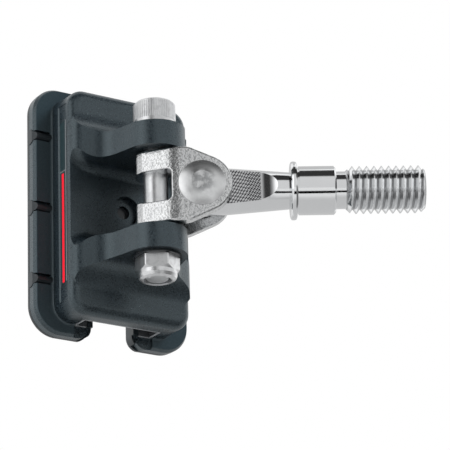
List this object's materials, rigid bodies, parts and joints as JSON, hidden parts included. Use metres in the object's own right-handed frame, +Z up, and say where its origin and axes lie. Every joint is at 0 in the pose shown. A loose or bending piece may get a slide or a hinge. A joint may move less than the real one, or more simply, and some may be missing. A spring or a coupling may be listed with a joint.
{
  "type": "batten car",
  "caption": "Mast-track batten car: a black slotted sliding body with two ears, a bolted forked toggle and a swinging threaded stud for a full batten.",
  "frame": {"origin": "on the car's rear face, at the middle of its width and length", "axes": "+X forward, away from the mast and square to the rear face; +Y across the car, towards the side the stud points to at rest; +Z up along the track slot"},
  "size_m": [0.0523, 0.0673, 0.0538],
  "materials": {
    "anodised_body": "black hard-anodised, satin",
    "liner_plastic": "smooth grey",
    "slider_plastic": "moulded satin black",
    "fastener_steel": "bright stainless",
    "washer_plastic": "black",
    "insert_plastic": "dull nylon",
    "cast_steel": "cast stainless, tumbled bright",
    "turned_steel": "turned and polished stainless",
    "label_film": "printed film with a red stripe"
  },
  "bodies": {
    "car": {"car_body": "anodised_body", "channel_liner": "liner_plastic", "slider_pad_left": "slider_plastic", "slider_pad_right": "slider_plastic", "pivot_bolt": "fastener_steel", "head_washer": "washer_plastic", "nut_washer": "washer_plastic", "pivot_nut": "fastener_steel", "nut_insert": "insert_plastic", "side_label": "label_film"},
    "toggle": {"toggle": "cast_steel", "rivet": "cast_steel"},
    "stud": {"stud": "turned_steel"}
  },
  "joints": [
    {"name": "toggle_swing", "type": "hinge", "parent": "car", "child": "toggle", "pos_m": [0.02086, 0, 0], "axis": [0, 0, 1], "range_deg": [-157.5, 38.5]},
    {"name": "stud_tilt", "type": "hinge", "parent": "toggle", "child": "stud", "pos_m": [0.02555, 0.00797, 0], "axis": [-0.8616, 0.5075, 0], "range_deg": [-60, 60]}
  ]
}
